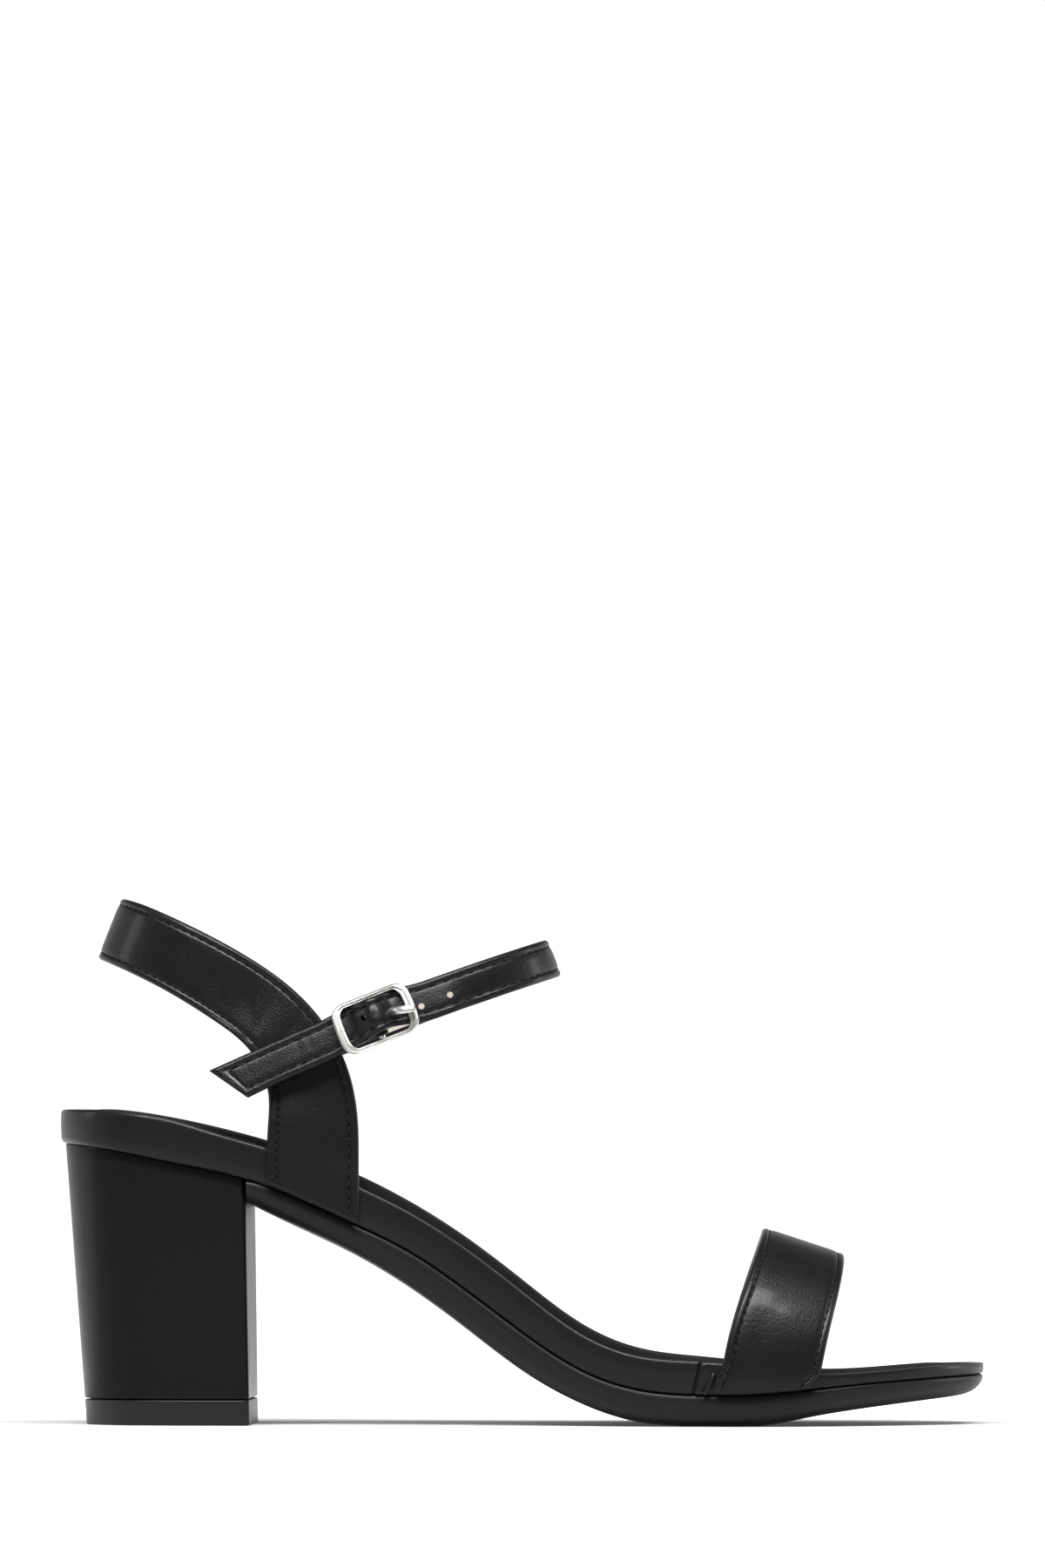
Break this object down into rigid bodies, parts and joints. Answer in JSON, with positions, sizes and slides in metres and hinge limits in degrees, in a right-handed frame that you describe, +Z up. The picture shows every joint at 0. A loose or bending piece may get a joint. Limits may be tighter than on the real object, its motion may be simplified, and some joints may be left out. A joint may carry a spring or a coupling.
{
  "type": "ankle strap block heel sandal",
  "caption": "Open-toed sandal on a straight block heel, with a band over the toes, a strap round the heel and a narrow buckled strap round the ankle.",
  "frame": {"origin": "on the floor, under the middle of the shoe's length and width", "axes": "+X to the toe, +Y to the inner side of the foot, +Z up"},
  "size_m": [0.24, 0.0846, 0.1362],
  "materials": {
    "upper_leather": "black smooth grain with a soft sheen",
    "sock_leather": "black, slightly matt",
    "sole": "black moulded sole, satin",
    "top_piece": "black hard rubber, satin",
    "buckle_metal": "bright nickel plate"
  },
  "bodies": {
    "root": {"heel_tip": "top_piece", "heel": "upper_leather", "outsole": "sole", "footbed": "upper_leather", "insole": "sock_leather", "toe_strap": "upper_leather", "ankle_upper": "upper_leather", "buckle_frame": "buckle_metal", "buckle_prong": "buckle_metal", "buckle_tab": "upper_leather"}
  },
  "joints": []
}
